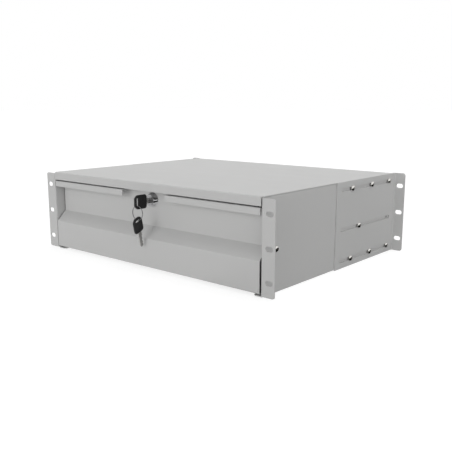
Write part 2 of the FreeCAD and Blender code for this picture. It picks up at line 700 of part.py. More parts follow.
def tray_front_angles():
    """Two angles that tie the tray's sides to the back of the drawer front."""
    corner = -TRAY_OUTER + TRAY_SHEET
    path = [(corner, TRAY_FRONT + ANGLE_LEG), (corner, TRAY_FRONT), (corner + ANGLE_LEG, TRAY_FRONT)]
    top = TRAY_TOP - TRAY_HEM - ANGLE_END_GAP
    return with_mirror([folded_sheet("plan", path, TRAY_SHEET, TRAY_BEND, WALL_FOLD + ANGLE_END_GAP, top)])


def front_rivets():
    """Rivets through the base flange of the front, flush with the tray's floor."""
    low = FRONT_BASE - RIVET_HEAD_HEIGHT
    steps = [(RIVET_HEAD_RADIUS, HEAD_SIDES, low, FRONT_BASE),
             (RIVET_RADIUS, SHANK_SIDES, FRONT_BASE, TRAY_BASE)]
    return Part.makeCompound([joined([pin("plan", place, RIVET_PLACE, steps), countersink(place, 0)])
                              for place in rivet_places()])


def lock_barrel():
    """Lock housing with its tapered bezel, through the recess wall."""
    bore = PLUG_RADIUS + PLUG_GAP
    bezel = turned([(bore, BEZEL_FACE), (BEZEL_FACE_RADIUS, BEZEL_FACE), (BEZEL_RADIUS, WALL_FRONT),
                    (bore, WALL_FRONT)], LOCK_X, LOCK_Z, "section")
    body = flatted_bar(BARREL_RADIUS, BARREL_FLATS, (WALL_FRONT, BARREL_REAR))
    return joined([bezel, body.cut(hole("section", LOCK_X, LOCK_Z, bore, WALL_FRONT, BARREL_REAR))])


def lock_nut():
    """Nut that clamps the lock on the recess wall."""
    end = WALL_REAR + LOCK_NUT_HEIGHT
    body = hexagonal_bar("section", LOCK_X, LOCK_Z, LOCK_NUT_ACROSS_FLATS, WALL_REAR, end)
    return body.cut(hole("section", LOCK_X, LOCK_Z, BARREL_RADIUS + LOCK_HOLE_GAP, WALL_REAR, end))


def square_bar(width, y_range):
    """Square bar on the lock's axis."""
    half = width / 2
    return block((LOCK_X - half, LOCK_X + half), y_range, (LOCK_Z - half, LOCK_Z + half))


def lock_plug():
    """Turning plug with its keyway and a square end for the cam."""
    front = BEZEL_FACE + PLUG_RECESS
    rear = CAM_FRONT + CAM_SHEET
    plug = hole("section", LOCK_X, LOCK_Z, PLUG_RADIUS, front, CAM_FRONT)
    plug = joined([plug, square_bar(SPIGOT, (CAM_FRONT - CAM_SHEET, rear))])
    key_tip = FACE - KEY_OUT + KEY_HEAD_LENGTH + KEY_BLADE_LENGTH
    half_thickness = KEY_BLADE_THICKNESS / 2 + KEYWAY_GAP
    half_width = KEY_BLADE_WIDTH / 2 + KEYWAY_GAP
    keyway = block((LOCK_X - half_thickness, LOCK_X + half_thickness),
                   (front - CUT_MARGIN, key_tip + KEYWAY_END_GAP),
                   (LOCK_Z - half_width, LOCK_Z + half_width))
    screw_hole = hole("section", LOCK_X, LOCK_Z, CAM_SCREW_RADIUS + PLUG_GAP, rear - CAM_SCREW_LENGTH,
                      rear + CUT_MARGIN)
    return plug.cut([keyway, screw_hole])


def lock_cam():
    """Flat cam on the plug's square end, lying sideways while unlocked."""
    boss = CAM_WIDTH / 2
    tip = CAM_TIP_WIDTH / 2
    outline = [(LOCK_X + boss, LOCK_Z - boss), (LOCK_X + boss, LOCK_Z + boss),
               (LOCK_X - CAM_REACH, LOCK_Z + tip), (LOCK_X - CAM_REACH, LOCK_Z - tip)]
    corners = [boss / 2, boss / 2, tip / 2, tip / 2]
    cam = rounded_plate("section", outline, corners, CAM_FRONT, CAM_FRONT + CAM_SHEET)
    return cam.cut(square_bar(SPIGOT + 2 * SPIGOT_GAP, (CAM_FRONT - CUT_MARGIN, CAM_FRONT + CUT_MARGIN)))


def cam_screw():
    """Screw that holds the cam on the plug."""
    seat = CAM_FRONT + CAM_SHEET
    return pin("section", LOCK_X, LOCK_Z,
               [(CAM_SCREW_RADIUS, SHANK_SIDES, seat - CAM_SCREW_LENGTH, seat),
                (CAM_SCREW_HEAD_RADIUS, HEAD_SIDES, seat, seat + CAM_SCREW_HEAD_HEIGHT)])


def key_blade():
    """Key blade along +Y from inside its head, cut on its upper edge."""
    half = KEY_BLADE_WIDTH / 2
    tip = KEY_HEAD_LENGTH + KEY_BLADE_LENGTH
    outline = [(KEY_HEAD_LENGTH - KEY_BLADE_ROOT, half), (KEY_HEAD_LENGTH - KEY_BLADE_ROOT, -half),
               (tip - KEY_TIP, -half), (tip, -half / 2), (tip, half / 4)]
    cuts = []
    for number, depth in enumerate(KEY_CUTS):
        centre = KEY_HEAD_LENGTH + KEY_CUT_START + number * KEY_CUT_PITCH
        cuts += [(centre - depth, half), (centre, half - depth), (centre + depth, half)]
    outline += [(tip - KEY_TIP, half)] + cuts[::-1]
    side = KEY_BLADE_THICKNESS / 2
    return plate("profile", outline, -side, side)


def key_head():
    """Moulded key head, its outer end at the origin, with a slot for the ring."""
    half = KEY_HEAD_WIDTH / 2
    side = KEY_HEAD_THICKNESS / 2
    outline = [(0, KEY_HEAD_CHAMFER - half), (0, half - KEY_HEAD_CHAMFER), (KEY_HEAD_CHAMFER, half),
               (KEY_HEAD_LENGTH - KEY_SHOULDER, half), (KEY_HEAD_LENGTH, half - KEY_SHOULDER),
               (KEY_HEAD_LENGTH, KEY_SHOULDER - half), (KEY_HEAD_LENGTH - KEY_SHOULDER, -half),
               (KEY_HEAD_CHAMFER, -half)]
    head = rounded_plate("profile", outline, [KEY_HEAD_CORNER] * len(outline), -side, side)
    slot_half = KEY_SLOT_WIDTH / 2
    reach = KEY_SLOT_LENGTH / 2 - slot_half
    ring_slot = block((-CUT_MARGIN, CUT_MARGIN),
                      (KEY_SLOT_PLACE - slot_half, KEY_SLOT_PLACE + slot_half), (-reach, reach))
    ends = [hole("profile", KEY_SLOT_PLACE, end * reach, slot_half, -CUT_MARGIN, CUT_MARGIN)
            for end in (-1, 1)]
    pocket = block((-KEY_BLADE_THICKNESS / 2, KEY_BLADE_THICKNESS / 2),
                   (KEY_HEAD_LENGTH - KEY_BLADE_ROOT, KEY_HEAD_LENGTH + CUT_MARGIN),
                   (-KEY_BLADE_WIDTH / 2, KEY_BLADE_WIDTH / 2))
    return head.cut([ring_slot] + ends + [pocket])


def key_in_lock(shape):
    """Key piece moved into the lock, its flat side upright."""
    return shape.translated(FreeCAD.Vector(LOCK_X, FACE - KEY_OUT, LOCK_Z))


def ring_top():
    """Centre of the ring's wire in the slot of the key in the lock."""
    slot_base = LOCK_Z - KEY_SLOT_LENGTH / 2
    return FreeCAD.Vector(LOCK_X, FACE - KEY_OUT + KEY_SLOT_PLACE, slot_base + RING_GAP + RING_WIRE)


def key_ring():
    """Ring that hangs in the key's slot, its wire eight-sided."""
    centre = ring_top() - Z_AXIS * RING_RADIUS
    wire = [in_plane("section", centre.x + radius, centre.z, level)
            for radius, level in polygon(RING_RADIUS, centre.y, RING_WIRE, SHANK_SIDES)]
    return Part.Face(Part.makePolygon(wire + wire[:1])).revolve(centre, Y_AXIS, 360)


def key_on_ring(shape):
    """Key piece hung by its slot on the bottom of the ring, tilted towards the drawer."""
    hung_at = KEY_SLOT_PLACE - KEY_SLOT_WIDTH / 2 + RING_GAP + RING_WIRE
    hung = shape.translated(-Y_AXIS * hung_at - Z_AXIS * SPARE_SHIFT)
    hung = hung.rotated(MIDDLE_PLANE, X_AXIS, SPARE_TILT - 90)
    hung = hung.rotated(MIDDLE_PLANE, Z_AXIS, SPARE_TURN)
    return hung.translated(ring_top() - Z_AXIS * 2 * RING_RADIUS)


def nodes():
    """Every node's name and shape."""
    outer_cage = (OUTER_CAGE_WEB, OUTER_CAGE_FLANGE, OUTER_BALL_OFFSET, OUTER_BALL_HEIGHT)
    inner_cage = (INNER_CAGE_WEB, INNER_CAGE_FLANGE, INNER_BALL_OFFSET, INNER_BALL_HEIGHT)
    shapes = {"top_cover": top_cover(), "rear_panel": rear_panel(), "lock_catch": lock_catch(),
              "bracket_screws": bracket_screws(), "slide_screws": slide_screws(),
              "clinch_nuts": clinch_nuts(), "drawer_front": drawer_front(), "tray": tray(),
              "tray_front_angles": tray_front_angles(), "front_rivets": front_rivets(),
              "inner_slide_screws": inner_slide_screws(), "lock_barrel": lock_barrel(),
              "lock_nut": lock_nut(), "lock_plug": lock_plug(), "lock_cam": lock_cam(),
              "cam_screw": cam_screw(), "key_ring": key_ring(),
              "key_head": key_in_lock(key_head()), "key_blade": key_in_lock(key_blade()),
              "spare_key_head": key_on_ring(key_head()), "spare_key_blade": key_on_ring(key_blade())}
    shapes.update(both_sides("side_panel", left_side_panel()))
    shapes.update(both_sides("rear_bracket", left_rear_bracket()))
    shapes.update(both_sides("slide_outer", left_slide_outer()))
    shapes.update(both_sides("slide_middle", left_slide_middle()))
    shapes.update(both_sides("slide_inner", left_slide_inner()))
    shapes.update(both_sides("outer_ball_cage", left_cage(*outer_cage)))
    shapes.update(both_sides("inner_ball_cage", left_cage(*inner_cage)))
    shapes.update(both_sides("outer_balls", left_balls(OUTER_BALL_OFFSET, OUTER_BALL_HEIGHT)))
    shapes.update(both_sides("inner_balls", left_balls(INNER_BALL_OFFSET, INNER_BALL_HEIGHT)))
    return shapes


os.makedirs("parts", exist_ok=True)
for name, shape in nodes().items():
    shape.exportStep(os.path.join("parts", name + ".step"))
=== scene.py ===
"""Rack drawer: painted sheet metal, ball slides, a cam lock and its keys, on a pale studio floor."""
import json
import math

import bmesh
import bpy
from bpy.props import FloatProperty, FloatVectorProperty, IntProperty, PointerProperty
from mathutils import Matrix, Vector


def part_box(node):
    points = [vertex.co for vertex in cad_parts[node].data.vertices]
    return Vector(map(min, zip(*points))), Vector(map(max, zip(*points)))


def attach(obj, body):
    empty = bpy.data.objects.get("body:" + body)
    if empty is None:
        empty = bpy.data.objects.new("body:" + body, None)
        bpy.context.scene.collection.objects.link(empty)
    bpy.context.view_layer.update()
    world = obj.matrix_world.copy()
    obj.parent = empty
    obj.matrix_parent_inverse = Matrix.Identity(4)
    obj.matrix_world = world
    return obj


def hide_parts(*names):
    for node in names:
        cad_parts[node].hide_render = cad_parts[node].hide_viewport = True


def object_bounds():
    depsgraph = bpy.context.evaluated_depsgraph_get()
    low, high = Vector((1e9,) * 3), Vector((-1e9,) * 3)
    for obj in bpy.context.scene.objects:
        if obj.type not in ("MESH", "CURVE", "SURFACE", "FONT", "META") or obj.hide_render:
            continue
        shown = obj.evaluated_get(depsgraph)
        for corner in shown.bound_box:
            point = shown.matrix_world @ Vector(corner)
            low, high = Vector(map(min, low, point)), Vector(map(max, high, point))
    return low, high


bl_info = {
    "name": "Rack Drawer",
    "version": (1, 0, 0),
    "blender": (4, 5, 0),
    "location": "3D View > Sidebar > Drawer",
    "description": "Finishes, small hardware and a studio for a lockable rack drawer",
    "category": "Object",
}

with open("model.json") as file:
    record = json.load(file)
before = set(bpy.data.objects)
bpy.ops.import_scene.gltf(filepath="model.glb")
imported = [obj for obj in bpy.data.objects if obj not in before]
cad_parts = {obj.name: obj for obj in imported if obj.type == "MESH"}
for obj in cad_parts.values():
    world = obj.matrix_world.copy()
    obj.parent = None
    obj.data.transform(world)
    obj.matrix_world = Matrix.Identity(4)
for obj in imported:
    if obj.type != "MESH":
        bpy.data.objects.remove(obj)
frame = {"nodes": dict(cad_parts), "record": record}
NODES = frame["nodes"]
CAD_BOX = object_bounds()

X_AXIS = Vector((1, 0, 0))
Y_AXIS = Vector((0, 1, 0))
Z_AXIS = Vector((0, 0, 1))
TURN = 2 * math.pi
SAME_PLACE = 1e-6
FINISH_NAME = "finish_"
BODY_OF = {node: body for body, nodes in frame["record"]["behaviour"]["bodies"].items() for node in nodes}
SLOT_OF = {part["node"]: part["material_slot"] for part in frame["record"]["subparts"]}

# Fasteners and balls; thread depths are shares of the pitch, the nut's chamfer of its width
SHARP_ANGLE = 0.6
SEAT_GAP = 0.00002
THREAD_STEPS = 12
HEAD_STEPS = 32
SCREW_THREAD_DEPTH = 0.6
NUT_THREAD_DEPTH = 0.55
NUT_CHAMFER = 0.09
RIVET_HEAD_SHARE = 1.0 / 3.7
BALL_RADIUS = 0.002

# Lock
WALL_PLACE = 0.0155
PLUG_RADIUS = 0.0065
PLUG_PLAY = 0.00005
KEYWAY_PLAY = 0.0002
SPIGOT = 0.007
BEZEL_FACE_RADIUS = 0.009
BEZEL_LIP = 0.0004
BARREL_RADIUS = 0.0095
BARREL_PITCH = 0.001
BARREL_THREAD_DEPTH = 0.5
BARREL_FLATS = 0.0164
LOCK_STEPS = 64
CAM_SCREW_HEAD = 0.0022
DIGIT_HEIGHT = 0.0024
DIGIT_ASIDE = 0.0032
DIGIT_SPACING = 1.25
FONT_SCALE = 1.35
MARK_DEPTH = 0.00003
MARK_WEIGHT = 0.00008

# Keys and ring
HEAD_CORNER = 0.0016
PANEL_CORNER = 0.0008
SLOT_STEPS = 12
BLADE_SOCKET = 0.004
BLADE_TIP = 0.0035
BLADE_EDGE = 0.00015
BITTING = (0.0018, 0.0011, 0.0022, 0.0009, 0.0016)
BITTING_PITCH = 0.0028
RING_STEPS = 150
RING_TURNS = 1.96
WIRE_SIDES = 10

# Stage
FLOOR_SIZE = 40.0
CARD_LIFT = 0.001


def tint(name, colour):
    """Colour setting of a finish."""
    return FloatVectorProperty(name=name, description="Colour of the " + name.lower(), subtype="COLOR",
                               size=4, min=0, max=1, default=(*colour, 1))


def metres(name, description, value):
    """Length setting in metres."""
    return FloatProperty(name=name, description=description, subtype="DISTANCE", unit="LENGTH",
                         precision=5, default=value)


def amount(name, description, value):
    """Plain number setting."""
    return FloatProperty(name=name, description=description, default=value)


class DrawerFinish(bpy.types.PropertyGroup):
    """Colours and grain of the finishes."""
    paint: tint("Sheet paint", (0.46, 0.46, 0.456))
    zinc: tint("Zinc plating", (0.60, 0.61, 0.62))
    nickel: tint("Nickel plating", (0.74, 0.73, 0.70))
    chrome: tint("Chrome", (0.80, 0.80, 0.81))
    lock_face: tint("Lock face", (0.36, 0.36, 0.365))
    cage: tint("Oiled cage steel", (0.40, 0.39, 0.36))
    ball: tint("Ball steel", (0.76, 0.76, 0.78))
    plastic: tint("Key plastic", (0.010, 0.010, 0.0105))
    blade: tint("Key blade", (0.42, 0.415, 0.405))
    ring: tint("Ring wire", (0.22, 0.22, 0.225))
    mark: tint("Engraved marks", (0.015, 0.015, 0.015))
    peel_size: metres("Orange peel", "Size of the waves in the paint", 0.0011)
    peel_depth: metres("Peel depth", "Depth of the waves in the paint", 0.00004)


class DrawerHardware(bpy.types.PropertyGroup):
    """Sizes of the fasteners and the lock's number."""
    head_height: metres("Screw head", "Height of a pan head", 0.0028)
    inner_head_height: metres("Low screw head", "Height of the head of a slide's inner screw", 0.0016)
    shank_radius: metres("Shank", "Radius of a screw's thread", 0.002)
    pitch: metres("Pitch", "Rise of a screw's thread in one turn", 0.0007)
    key_number: IntProperty(name="Key number", description="Digits down the lock's face", default=407)


class DrawerKeys(bpy.types.PropertyGroup):
    """Sizes of the keys' heads and how the spare key hangs."""
    head_chamfer: metres("Corner", "Chamfer of the head's outer corners", 0.0045)
    head_shoulder: metres("Shoulder", "Chamfer of the head's corners beside the blade", 0.0025)
    head_edge: metres("Edge", "Rounding of the head's rims", 0.0006)
    slot_place: metres("Slot place", "From the head's outer end to the middle of its slot", 0.0052)
    slot_length: metres("Slot length", "Length of the ring slot", 0.0134)
    slot_width: metres("Slot width", "Width of the ring slot", 0.0042)
    panel_margin: metres("Panel margin", "Rim left round the sunk grip panel", 0.0019)
    panel_depth: metres("Panel depth", "Depth of the sunk grip panel", 0.0004)
    ring_gap: metres("Ring gap", "Play between the ring and the slot's edge", 0.00045)
    spare_shift: metres("Shift", "How far off the ring's middle the spare key hangs", 0.0015)
    spare_turn: FloatProperty(name="Turn", description="Turn of the spare key about the vertical",
                              subtype="ANGLE", default=math.radians(15))
    spare_tilt: FloatProperty(name="Tilt", description="Lean of the spare key towards the drawer",
                              subtype="ANGLE", default=math.radians(15))


class DrawerStudio(bpy.types.PropertyGroup):
    """Camera, floor and lamps."""
    camera_place: FloatVectorProperty(name="Camera place", description="Where the camera stands",
                                      subtype="TRANSLATION", default=(0.6848, -0.6133, 0.17825))
    camera_pitch: FloatProperty(name="Pitch", description="How far the camera looks down",
                                subtype="ANGLE", default=math.radians(11.05))
    camera_heading: FloatProperty(name="Heading", description="How far the camera is turned to the left",
                                  subtype="ANGLE", default=math.radians(40.54))
    lens: FloatProperty(name="Lens", description="Focal length on a 36 mm sensor", unit="CAMERA",
                        default=49.75)
    sky: amount("Sky", "Strength of the soft light from all round", 0.25)
    top_lamp: amount("Top lamp", "Strength of the broad lamp overhead", 1.78)
    front_lamp: amount("Front lamp", "Strength of the broad lamp in front", 1.7)
    low_lamp: amount("Low lamp", "Strength of the lamp that lifts the undersides in front", 0.76)
    side_lamp: amount("Side lamp", "Strength of the lamp on the right", 0.8)
    corner_lamp: amount("Corner lamp", "Strength of the lamp at the right front", 0.7)
    fill_lamps: amount("Fill lamps", "Strength of the lamps on the left and behind", 1.1)
    floor: tint("Floor", (0.3, 0.3, 0.3))
    floor_white: amount("Floor white", "Glow that brings the lit floor up to white", 0.79)
    card: tint("Dark card", (0.01, 0.01, 0.01))
    card_size: metres("Card size", "Side of the dark card", 3.0)
    card_reach: metres("Card reach", "How far the card comes out in front of the drawer", 0.3)


def shader_node(tree, kind, settings=None, **inputs):
    """New node: settings are its own fields, and each input takes a value or the output that feeds it."""
    made = tree.nodes.new("ShaderNode" + kind)
    for field, value in (settings or {}).items():
        setattr(made, field, value)
    for label, value in inputs.items():
        feed(tree, made.inputs[label.replace("_", " ")], value)
    return made


def feed(tree, socket, value):
    """Links an output to the socket or sets its value."""
    if isinstance(value, bpy.types.NodeSocket):
        tree.links.new(value, socket)
    else:
        socket.default_value = value


def worked(tree, operation, first, second):
    """Result of a maths node."""
    made = shader_node(tree, "Math", {"operation": operation})
    feed(tree, made.inputs[0], first)
    feed(tree, made.inputs[1], second)
    return made.outputs[0]


def scaled(tree, vector, factor):
    """A vector or a colour times a number."""
    made = shader_node(tree, "VectorMath", {"operation": "SCALE"})
    feed(tree, made.inputs[0], vector)
    feed(tree, made.inputs["Scale"], factor)
    return made.outputs[0]


def shader_group(name, inputs, outputs):
    """Group with its sockets, and its input and output nodes."""
    tree = bpy.data.node_groups.new(name, "ShaderNodeTree")
    for label, kind in inputs:
        tree.interface.new_socket(label, in_out="INPUT", socket_type="NodeSocket" + kind)
    for label, kind in outputs:
        tree.interface.new_socket(label, in_out="OUTPUT", socket_type="NodeSocket" + kind)
    return tree, tree.nodes.new("NodeGroupInput").outputs, tree.nodes.new("NodeGroupOutput").inputs


def build_wave_group():
    """Fine waves over a surface: their height, and a slow drift of tone."""
    tree, given, result = shader_group("surface_waves", [("Vector", "Vector"), ("Scale", "Float")],
                                       [("Height", "Float"), ("Drift", "Float")])
    fine = shader_node(tree, "TexNoise", Vector=given["Vector"], Scale=given["Scale"], Detail=3.0,
                       Roughness=0.55)
    wide = shader_node(tree, "TexNoise", Vector=given["Vector"], Scale=9.0, Detail=2.0)
    tree.links.new(fine.outputs["Fac"], result["Height"])
    tree.links.new(wide.outputs["Fac"], result["Drift"])


def build_tone_group():
    """Colour that grows lighter and darker with a mask."""
    tree, given, result = shader_group("tone_spread",
                                       [("Color", "Color"), ("Mask", "Float"), ("Spread", "Float")],
                                       [("Color", "Color")])
    centred = worked(tree, "SUBTRACT", given["Mask"], 0.5)
    lift = worked(tree, "ADD", worked(tree, "MULTIPLY", centred, given["Spread"]), 1.0)
    tree.links.new(scaled(tree, given["Color"], lift), result["Color"])


def build_handling_group():
    """Roughness with the wipes and smudges of handling."""
    tree, given, result = shader_group("handling", [("Vector", "Vector"), ("Roughness", "Float"),
                                                    ("Amount", "Float")], [("Roughness", "Float")])
    stretched = shader_node(tree, "Mapping", Vector=given["Vector"], Scale=(14, 34, 22),
                            Rotation=(0.3, 0.2, 0.5))
    smudge = shader_node(tree, "TexNoise", Vector=stretched.outputs[0], Scale=1.0, Detail=4.0,
                         Distortion=0.6)
    swing = worked(tree, "MULTIPLY", worked(tree, "SUBTRACT", smudge.outputs["Fac"], 0.5), given["Amount"])
    tree.links.new(worked(tree, "ADD", given["Roughness"], swing), result["Roughness"])


def build_line_group():
    """Drawn or rolled lines along one axis of the metal."""
    tree, given, result = shader_group("drawn_lines", [("Vector", "Vector"), ("Stretch", "Vector")],
                                       [("Height", "Float"), ("Drift", "Float")])
    lines = shader_node(tree, "Mapping", Vector=given["Vector"], Scale=given["Stretch"])
    fine = shader_node(tree, "TexNoise", Vector=lines.outputs[0], Scale=1.0, Detail=4.0, Roughness=0.7)
    wide = shader_node(tree, "TexNoise", Vector=given["Vector"], Scale=60.0, Detail=1.0)
    tree.links.new(fine.outputs["Fac"], result["Height"])
    tree.links.new(wide.outputs["Fac"], result["Drift"])


def placed_group(tree, name, **inputs):
    """The outputs of a group placed in a material."""
    made = tree.nodes.new("ShaderNodeGroup")
    made.node_tree = bpy.data.node_groups[name]
    for label, value in inputs.items():
        feed(tree, made.inputs[label], value)
    return made.outputs


def new_material(name):
    """Material with its tree, its surface shader and the object coordinates."""
    material = bpy.data.materials.new(FINISH_NAME + name)
    material.use_nodes = True
    tree = material.node_tree
    place = shader_node(tree, "TexCoord").outputs["Object"]
    return material, tree, tree.nodes["Principled BSDF"], place


def raised(tree, height, depth, strength=1.0):
    """Normal of a surface with that much relief, in metres."""
    return shader_node(tree, "Bump", Height=height, Distance=depth, Strength=strength).outputs["Normal"]


def coat(tree, surface, place, relief, depth, colour, spread, roughness, handling):
    """Gives a surface its relief, a colour whose tone drifts, and roughness with signs of handling."""
    tone = placed_group(tree, "tone_spread", Color=colour, Mask=relief["Drift"], Spread=spread)
    feed(tree, surface.inputs["Base Color"], tone["Color"])
    gloss = placed_group(tree, "handling", Vector=place, Roughness=roughness, Amount=handling)
    feed(tree, surface.inputs["Roughness"], gloss["Roughness"])
    feed(tree, surface.inputs["Normal"], raised(tree, relief["Height"], depth))


def waved_material(name, wave_size, wave_depth, metallic=0.0, specular=0.5, **look):
    """Finish with fine waves; the look is its colour, spread, roughness and handling."""
    material, tree, surface, place = new_material(name)
    waves = placed_group(tree, "surface_waves", Vector=place, Scale=1 / wave_size)
    coat(tree, surface, place, waves, wave_depth, **look)
    surface.inputs["Metallic"].default_value = metallic
    surface.inputs["Specular IOR Level"].default_value = specular
    return material


def lined_material(name, stretch, line_depth, **look):
    """Metal with drawn lines along one axis, and the same kind of look."""
    material, tree, surface, place = new_material(name)
    lines = placed_group(tree, "drawn_lines", Vector=place, Stretch=stretch)
    coat(tree, surface, place, lines, line_depth, **look)
    surface.inputs["Metallic"].default_value = 1.0
    return material


def finishes(finish):
    """One material for each finish of the record, by its slot."""
    waved = {
        "grey_paint": dict(colour=finish.paint, spread=0.03, roughness=0.46, handling=0.10,
                           wave_size=finish.peel_size, wave_depth=finish.peel_depth),
        "bright_nickel": dict(colour=finish.nickel, spread=0.05, roughness=0.15, handling=0.10,
                              wave_size=0.0006, wave_depth=0.000003, metallic=1.0),
        "lock_chrome": dict(colour=finish.chrome, spread=0.03, roughness=0.07, handling=0.06,
                            wave_size=0.0009, wave_depth=0.000002, metallic=1.0),
        "ball_steel": dict(colour=finish.ball, spread=0.03, roughness=0.06, handling=0.05,
                           wave_size=0.0012, wave_depth=0.000001, metallic=1.0),
        "key_plastic": dict(colour=finish.plastic, spread=0.10, roughness=0.48, handling=0.12,
                            wave_size=0.00022, wave_depth=0.00002, specular=0.25),
        "engraved_mark": dict(colour=finish.mark, spread=0.10, roughness=0.6, handling=0.1,
                              wave_size=0.0003, wave_depth=0.00001),
    }
    lined = {
        "zinc_steel": dict(colour=finish.zinc, spread=0.16, roughness=0.34, handling=0.14,
                           stretch=(1500, 25, 1500), line_depth=0.000008),
        "lock_face": dict(colour=finish.lock_face, spread=0.08, roughness=0.36, handling=0.08,
                          stretch=(300, 300, 5200), line_depth=0.000006),
        "cage_steel": dict(colour=finish.cage, spread=0.14, roughness=0.38, handling=0.16,
                           stretch=(1300, 30, 1300), line_depth=0.000006),
        "key_metal": dict(colour=finish.blade, spread=0.08, roughness=0.22, handling=0.10,
                          stretch=(2600, 60, 2600), line_depth=0.000005),
        "ring_wire": dict(colour=finish.ring, spread=0.06, roughness=0.32, handling=0.10,
                          stretch=(900, 900, 900), line_depth=0.000004),
    }
    made = {name: waved_material(name, **look) for name, look in waved.items()}
    made.update({name: lined_material(name, **look) for name, look in lined.items()})
    return made


class DRAWER_OT_finishes(bpy.types.Operator):
    """Make the finishes and give each part of the frame its own"""
    bl_idname = "drawer.finishes"
    bl_label = "Finishes"

    def execute(self, context):
        build_wave_group()
        build_tone_group()
        build_handling_group()
        build_line_group()
        made = finishes(context.scene.drawer_finish)
        for part in frame["record"]["subparts"]:
            mesh = NODES[part["node"]].data
            mesh.materials.clear()
            mesh.materials.append(made[part["material_slot"]])
        return {"FINISHED"}


def lathe(profile, steps, turn=TURN, rise=0.0):
    """Shape that a profile of (radius, height) sweeps about the Z axis; a rise makes it a helix."""
    shape = bmesh.new()
    points = [shape.verts.new((radius, 0, height)) for radius, height in profile]
    edges = [shape.edges.new(pair) for pair in zip(points, points[1:])]
    bmesh.ops.spin(shape, geom=points + edges, cent=(0, 0, 0), axis=Z_AXIS, dvec=Z_AXIS * rise / steps,
                   angle=turn, steps=steps, use_merge=not rise)
    return cleaned(shape)


def cleaned(shape):
    """Shape without doubled points, its faces turned outwards."""
    bmesh.ops.remove_doubles(shape, verts=shape.verts, dist=SAME_PLACE)
    bmesh.ops.dissolve_degenerate(shape, edges=shape.edges, dist=SAME_PLACE)
    bmesh.ops.recalc_face_normals(shape, faces=shape.faces)
    return shape


def as_mesh(shape, sharp=SHARP_ANGLE):
    """Mesh of a shape, smooth but for the edges that bend by more than the sharp angle."""
    mesh = bpy.data.meshes.new("shape")
    shape.to_mesh(mesh)
    shape.free()
    mesh.shade_smooth()
    mesh.set_sharp_from_angle(angle=sharp)
    return mesh


def gathered(pairs):
    """One shape of meshes, each copied to all the places that its pair gives."""
    whole = bmesh.new()
    for mesh, places in pairs:
        for place in places:
            known = len(whole.verts)
            whole.from_mesh(mesh)
            whole.verts.ensure_lookup_table()
            bmesh.ops.transform(whole, matrix=place, verts=whole.verts[known:])
    bmesh.ops.recalc_face_normals(whole, faces=whole.faces)
    return whole


def carved(mesh, tool, operation="DIFFERENCE"):
    """Mesh with a tool's shape cut away, or with only what lies inside the tool."""
    helpers = [bpy.data.objects.new("helper", each) for each in (mesh, tool)]
    for helper in helpers:
        bpy.context.scene.collection.objects.link(helper)
    cut = helpers[0].modifiers.new("cut", "BOOLEAN")
    cut.operation = operation
    cut.object = helpers[1]
    graph = bpy.context.evaluated_depsgraph_get()
    result = bpy.data.meshes.new_from_object(helpers[0].evaluated_get(graph))
    for helper in helpers:
        bpy.data.objects.remove(helper)
    result.shade_smooth()
    result.set_sharp_from_angle(angle=SHARP_ANGLE)
    return result


def box_mesh(low, high):
    """Box between two corners."""
    shape = bmesh.new()
    low, high = Vector(low), Vector(high)
    bmesh.ops.create_cube(shape, size=1, matrix=Matrix.Translation((low + high) / 2) @
                          Matrix.Diagonal((*(high - low), 1)))
    return as_mesh(shape)


def prism(outline, low, high, edge=0.0, segments=2):
    """Outline in the XY plane, raised from one height to another, its rims rounded."""
    shape = bmesh.new()
    face = shape.faces.new([shape.verts.new((x, y, low)) for x, y in outline])
    raised_face = bmesh.ops.extrude_face_region(shape, geom=[face])["geom"]
    top = [item for item in raised_face if isinstance(item, bmesh.types.BMVert)]
    bmesh.ops.translate(shape, verts=top, vec=(0, 0, high - low))
    cleaned(shape)
    if edge:
        rims = [item for item in shape.edges if abs(item.verts[0].co.z - item.verts[1].co.z) < SAME_PLACE]
        bmesh.ops.bevel(shape, geom=rims, offset=edge, offset_type="OFFSET", affect="EDGES",
                        segments=segments, profile=0.5, material=-1)
    return shape


def rounded(outline, radius, steps=4):
    """Outline with its corners rounded."""
    points = []
    for before, corner, after in zip(outline[-1:] + outline[:-1], outline, outline[1:] + outline[:1]):
        corner = Vector(corner)
        start = corner + (Vector(before) - corner).normalized() * radius
        end = corner + (Vector(after) - corner).normalized() * radius
        for step in range(steps + 1):
            share = step / steps
            points.append(start.lerp(corner, share).lerp(corner.lerp(end, share), share))
    return [tuple(point) for point in points]


def solids_of(node):
    """Lowest and highest corners of each separate solid in a node."""
    shape = bmesh.new()
    shape.from_mesh(NODES[node].data)
    bmesh.ops.remove_doubles(shape, verts=shape.verts, dist=SAME_PLACE)
    left = set(shape.verts)
    boxes = []
    while left:
        reached = [left.pop()]
        for vertex in reached:
            near = {edge.other_vert(vertex) for edge in vertex.link_edges} & left
            left -= near
            reached.extend(near)
        boxes.append([Vector([pick(vertex.co[axis] for vertex in reached) for axis in range(3)])
                      for pick in (min, max)])
    shape.free()
    return sorted(boxes, key=lambda corners: tuple(round(value, 5) for value in corners[0]))


def middle(corners):
    """Centre of a box."""
    return (corners[0] + corners[1]) / 2


def aimed(place, direction):
    """Matrix that puts a shape's base at a place and its Z axis along a direction."""
    return Matrix.Translation(place) @ direction.to_track_quat("Z", "Y").to_matrix().to_4x4()


def piece(name, mesh, node, stands_for=True, finishes=()):
    """Object of a mesh on the body and in the finish of a node, in whose place it can stand."""
    mesh.name = name
    if mesh.materials:
        mesh.materials.clear()
    for finish in finishes or [SLOT_OF[node]]:
        mesh.materials.append(bpy.data.materials[FINISH_NAME + finish])
    made = bpy.data.objects.new(name, mesh)
    bpy.context.scene.collection.objects.link(made)
    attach(made, BODY_OF[node])
    if stands_for:
        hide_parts(node)


